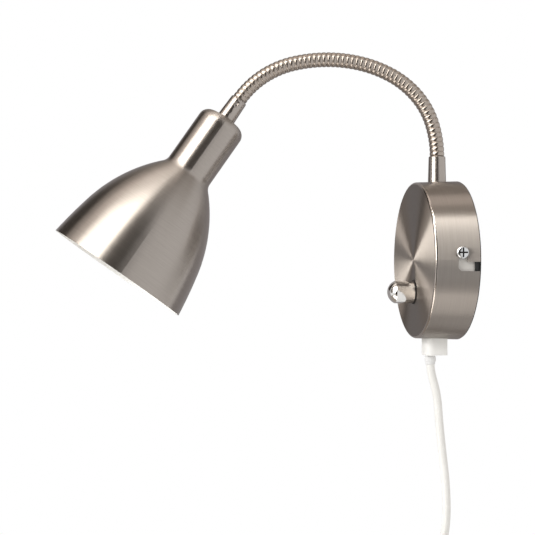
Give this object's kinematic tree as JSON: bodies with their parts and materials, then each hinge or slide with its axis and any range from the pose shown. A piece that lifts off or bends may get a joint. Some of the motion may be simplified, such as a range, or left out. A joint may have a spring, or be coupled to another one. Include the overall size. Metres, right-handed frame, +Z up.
{
  "type": "bedside wall reading lamp",
  "caption": "Round wall base with a dimmer knob, a ribbed gooseneck arm, a bell-shaped metal shade with a lampholder and bulb inside, and a mains cord with a plug.",
  "frame": {"origin": "middle of the round base on the wall, where the back plate's rear face lies", "axes": "the wall is the plane y = 0, +Y into the wall, -Y into the room, +Z up, +X to the right of a viewer in the room"},
  "size_m": [0.1046, 0.2507, 0.5097],
  "materials": {
    "satin_nickel": "satin nickel plating, brushed round",
    "neck_nickel": "satin nickel, ribbed hose",
    "bright_chrome": "polished",
    "zinc_steel": "bright zinc plating",
    "black_steel": "black powder coat",
    "dark_fibre": "matt",
    "white_plastic": "soft gloss",
    "clear_white_leads": "matt",
    "white_moulding": "matt",
    "holder_plastic": "matt",
    "black_sleeve": "matt",
    "nickel_brass": "nickel plated",
    "brass": "plain",
    "board_green": "lacquered board",
    "brown_core": "matt",
    "blue_core": "matt",
    "opal_glass": "opal"
  },
  "bodies": {
    "base": {"base_cover": "satin_nickel", "back_plate": "black_steel", "wall_bracket": "zinc_steel", "lock_screws": "zinc_steel", "base_sleeve": "satin_nickel", "sleeve_washer": "zinc_steel", "sleeve_nut": "zinc_steel", "dimmer_case": "white_moulding", "dimmer_board": "board_green", "dimmer_pot": "zinc_steel", "face_washer": "dark_fibre", "bush_nut": "zinc_steel", "terminal_block": "white_moulding", "terminal_tubes": "brass", "terminal_screws": "zinc_steel", "core_brown": "brown_core", "core_blue": "blue_core", "link_wire": "brown_core", "base_leads": "clear_white_leads", "cord_grip": "white_plastic", "cord_clamp": "white_plastic", "clamp_screws": "zinc_steel", "cord_sleeve": "white_plastic", "mains_cord": "white_plastic", "cord_hank": "white_plastic", "hank_tie": "white_moulding", "plug_body": "white_plastic", "plug_pins": "nickel_brass", "plug_pin_sleeves": "black_sleeve", "neck_stretch_1": "neck_nickel", "neck_lead_1": "clear_white_leads"},
    "knob": {"knob": "bright_chrome", "dimmer_shaft": "zinc_steel"},
    "neck_2": {"neck_stretch_2": "neck_nickel", "neck_lead_2": "clear_white_leads"},
    "neck_3": {"neck_stretch_3": "neck_nickel", "neck_lead_3": "clear_white_leads"},
    "neck_4": {"neck_stretch_4": "neck_nickel", "neck_lead_4": "clear_white_leads"},
    "neck_5": {"neck_stretch_5": "neck_nickel", "neck_lead_5": "clear_white_leads"},
    "neck_6": {"neck_stretch_6": "neck_nickel", "neck_lead_6": "clear_white_leads"},
    "neck_7": {"neck_stretch_7": "neck_nickel", "neck_lead_7": "clear_white_leads"},
    "head": {"neck_stretch_8": "neck_nickel", "neck_lead_8": "clear_white_leads", "head_sleeve": "satin_nickel", "head_washer": "zinc_steel", "head_nut": "zinc_steel", "shade": "satin_nickel", "lampholder_cap": "holder_plastic", "lampholder_body": "holder_plastic", "lampholder_shell": "nickel_brass", "lampholder_contact": "brass", "head_leads": "clear_white_leads", "bulb_cap": "nickel_brass", "bulb_tip": "nickel_brass", "bulb_globe": "opal_glass"}
  },
  "joints": [
    {"name": "dimmer_turn", "type": "hinge", "parent": "base", "child": "knob", "pos_m": [0, -0.028, -0.02], "axis": [0, 1, 0], "range_deg": [0, 270]},
    {"name": "neck_bend_1", "type": "hinge", "parent": "base", "child": "neck_2", "pos_m": [0, -0.01587, 0.08636], "axis": [1, 0, 0], "range_deg": [-28, 5], "deforming": ["neck_stretch_1", "neck_lead_1"]},
    {"name": "neck_sway_2", "type": "hinge", "parent": "neck_2", "child": "neck_3", "pos_m": [0, -0.02645, 0.10431], "axis": [0, 0.7314, 0.682], "range_deg": [-25, 25], "deforming": ["neck_stretch_2", "neck_lead_2"]},
    {"name": "neck_bend_3", "type": "hinge", "parent": "neck_3", "child": "neck_4", "pos_m": [0, -0.04323, 0.11674], "axis": [1, 0, 0], "range_deg": [-36, 10], "deforming": ["neck_stretch_3", "neck_lead_3"]},
    {"name": "neck_sway_4", "type": "hinge", "parent": "neck_4", "child": "neck_5", "pos_m": [0, -0.06309, 0.12338], "axis": [0, 0.1908, 0.9816], "range_deg": [-25, 25], "deforming": ["neck_stretch_4", "neck_lead_4"]},
    {"name": "neck_bend_5", "type": "hinge", "parent": "neck_5", "child": "neck_6", "pos_m": [0, -0.08398, 0.12502], "axis": [1, 0, 0], "range_deg": [-25, 5], "deforming": ["neck_stretch_5", "neck_lead_5"]},
    {"name": "neck_sway_6", "type": "hinge", "parent": "neck_6", "child": "neck_7", "pos_m": [0, -0.10474, 0.12211], "axis": [0, -0.2419, 0.9703], "range_deg": [-25, 25], "deforming": ["neck_stretch_6", "neck_lead_6"]},
    {"name": "neck_bend_7", "type": "hinge", "parent": "neck_7", "child": "head", "pos_m": [0, -0.12383, 0.11361], "axis": [1, 0, 0], "range_deg": [-41, 5], "deforming": ["neck_stretch_7", "neck_lead_7", "neck_stretch_8", "neck_lead_8"]}
  ]
}
